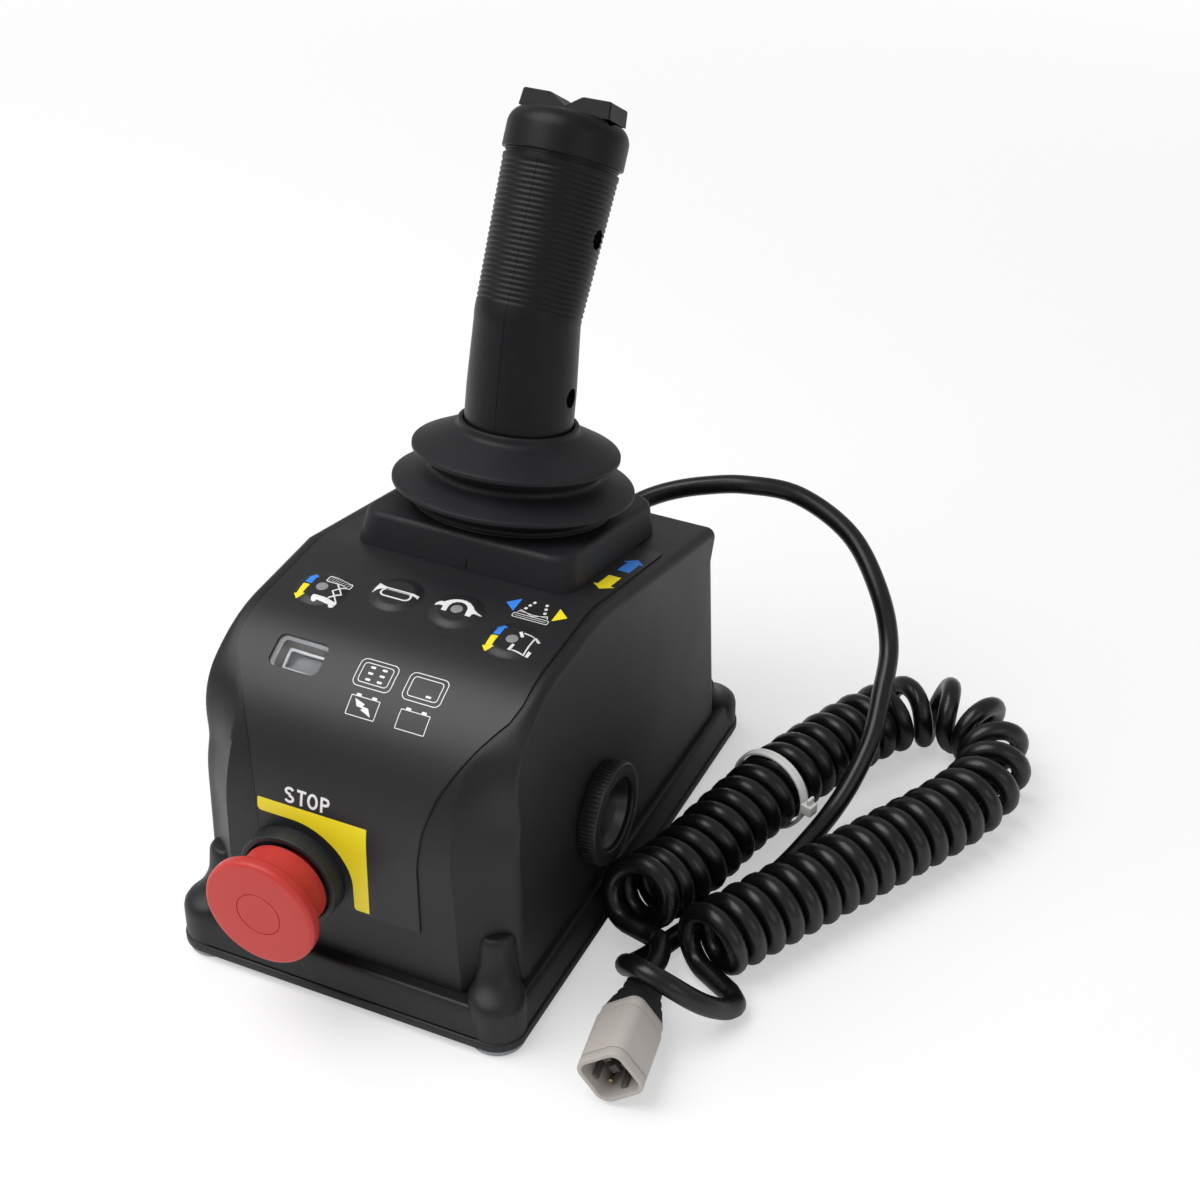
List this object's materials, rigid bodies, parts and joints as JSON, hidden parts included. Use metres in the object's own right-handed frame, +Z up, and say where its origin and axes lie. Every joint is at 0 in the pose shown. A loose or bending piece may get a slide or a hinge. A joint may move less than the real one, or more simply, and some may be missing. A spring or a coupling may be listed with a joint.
{
  "type": "scissor lift control box",
  "caption": "Scissor lift control box with a tilting joystick handle, panel keys, a red stop button, an alarm and a curly cord with a plug.",
  "frame": {"origin": "on the surface that the feet stand on, under the middle of the base rim", "axes": "+Z up, -Y towards the operator (the side with the stop button), +X to the operator's right"},
  "size_m": [0.2334, 0.2444, 0.2428],
  "materials": {
    "housing": "satin",
    "base_plate": "matte",
    "seal": "matte",
    "fixings": "satin",
    "feet": "clear",
    "panel": "satin",
    "window": "gloss",
    "display": "matte",
    "board": "satin",
    "keys": "satin",
    "lenses": "gloss",
    "stop_red": "satin",
    "stop_black": "satin",
    "contacts": "matte",
    "alarm": "satin",
    "boot": "satin",
    "handle": "satin",
    "joystick_case": "matte",
    "switches": "matte",
    "cord": "satin",
    "tie": "satin",
    "plug_grey": "satin",
    "plug_metal": "satin",
    "gland": "satin"
  },
  "bodies": {
    "housing": {"housing_shell": "housing", "base_plate": "base_plate", "base_seal": "seal", "base_screws": "fixings", "base_feet": "feet", "panel_sheet": "panel", "window_lens": "window", "display_module": "display", "circuit_board": "board", "board_screws": "fixings", "key_switches": "switches", "stop_collar": "stop_black", "stop_nut": "fixings", "stop_contacts": "contacts", "alarm_ring": "alarm", "alarm_case": "alarm", "alarm_nut": "alarm", "boot_flange": "boot", "boot_bellows": "boot", "joystick_base": "joystick_case", "joystick_screws": "fixings", "tilt_pin": "fixings", "cord_gland": "gland", "gland_nut": "gland", "cord_lead": "cord", "cord_coil": "cord", "cord_tail": "cord", "cord_tie": "tie", "plug_boot": "cord", "plug_body": "plug_grey", "plug_wedge": "plug_grey", "plug_pins": "plug_metal"},
    "joystick": {"joystick_shaft": "fixings", "handle_left": "handle", "handle_right": "handle", "handle_screws": "fixings", "handle_cap": "handle", "rocker_pin": "fixings", "steer_switches": "switches", "trigger_pin": "fixings"},
    "steer": {"steer_rocker": "handle"},
    "trigger": {"enable_trigger": "handle"},
    "stop_button": {"stop_head": "stop_red"},
    "lift_key": {"key_lift": "keys", "lens_lift": "lenses"},
    "horn_key": {"key_horn": "keys"},
    "slow_key": {"key_slow": "keys", "lens_slow": "lenses"},
    "drive_key": {"key_drive": "keys", "lens_drive": "lenses"}
  },
  "joints": [
    {"name": "handle_tilt", "type": "hinge", "parent": "housing", "child": "joystick", "pos_m": [0, 0.02701, 0.09538], "axis": [1, 0, 0], "range_deg": [-20, 20], "stiffness_Nm_per_rad": 1.5, "deforming": ["boot_bellows"]},
    {"name": "steer_tilt", "type": "hinge", "parent": "joystick", "child": "steer", "pos_m": [0, 0.07777, 0.23018], "axis": [0, 0.8517, -0.524], "range_deg": [-6, 6], "stiffness_Nm_per_rad": 0.3},
    {"name": "trigger_pull", "type": "hinge", "parent": "joystick", "child": "trigger", "pos_m": [0, 0.07884, 0.20369], "axis": [-1, 0, 0], "range_deg": [0, 8], "stiffness_Nm_per_rad": 0.4},
    {"name": "stop_press", "type": "slide", "parent": "housing", "child": "stop_button", "axis": [0, 1, 0], "range_m": [0, 0.0055]},
    {"name": "lift_press", "type": "slide", "parent": "housing", "child": "lift_key", "axis": [0, 0.0406, -0.9992], "range_m": [0, 0.0008], "stiffness_N_per_m": 400},
    {"name": "horn_press", "type": "slide", "parent": "housing", "child": "horn_key", "axis": [0, 0.0406, -0.9992], "range_m": [0, 0.0008], "stiffness_N_per_m": 400},
    {"name": "slow_press", "type": "slide", "parent": "housing", "child": "slow_key", "axis": [0, 0.0406, -0.9992], "range_m": [0, 0.0008], "stiffness_N_per_m": 400},
    {"name": "drive_press", "type": "slide", "parent": "housing", "child": "drive_key", "axis": [0, 0.0406, -0.9992], "range_m": [0, 0.0008], "stiffness_N_per_m": 400}
  ]
}
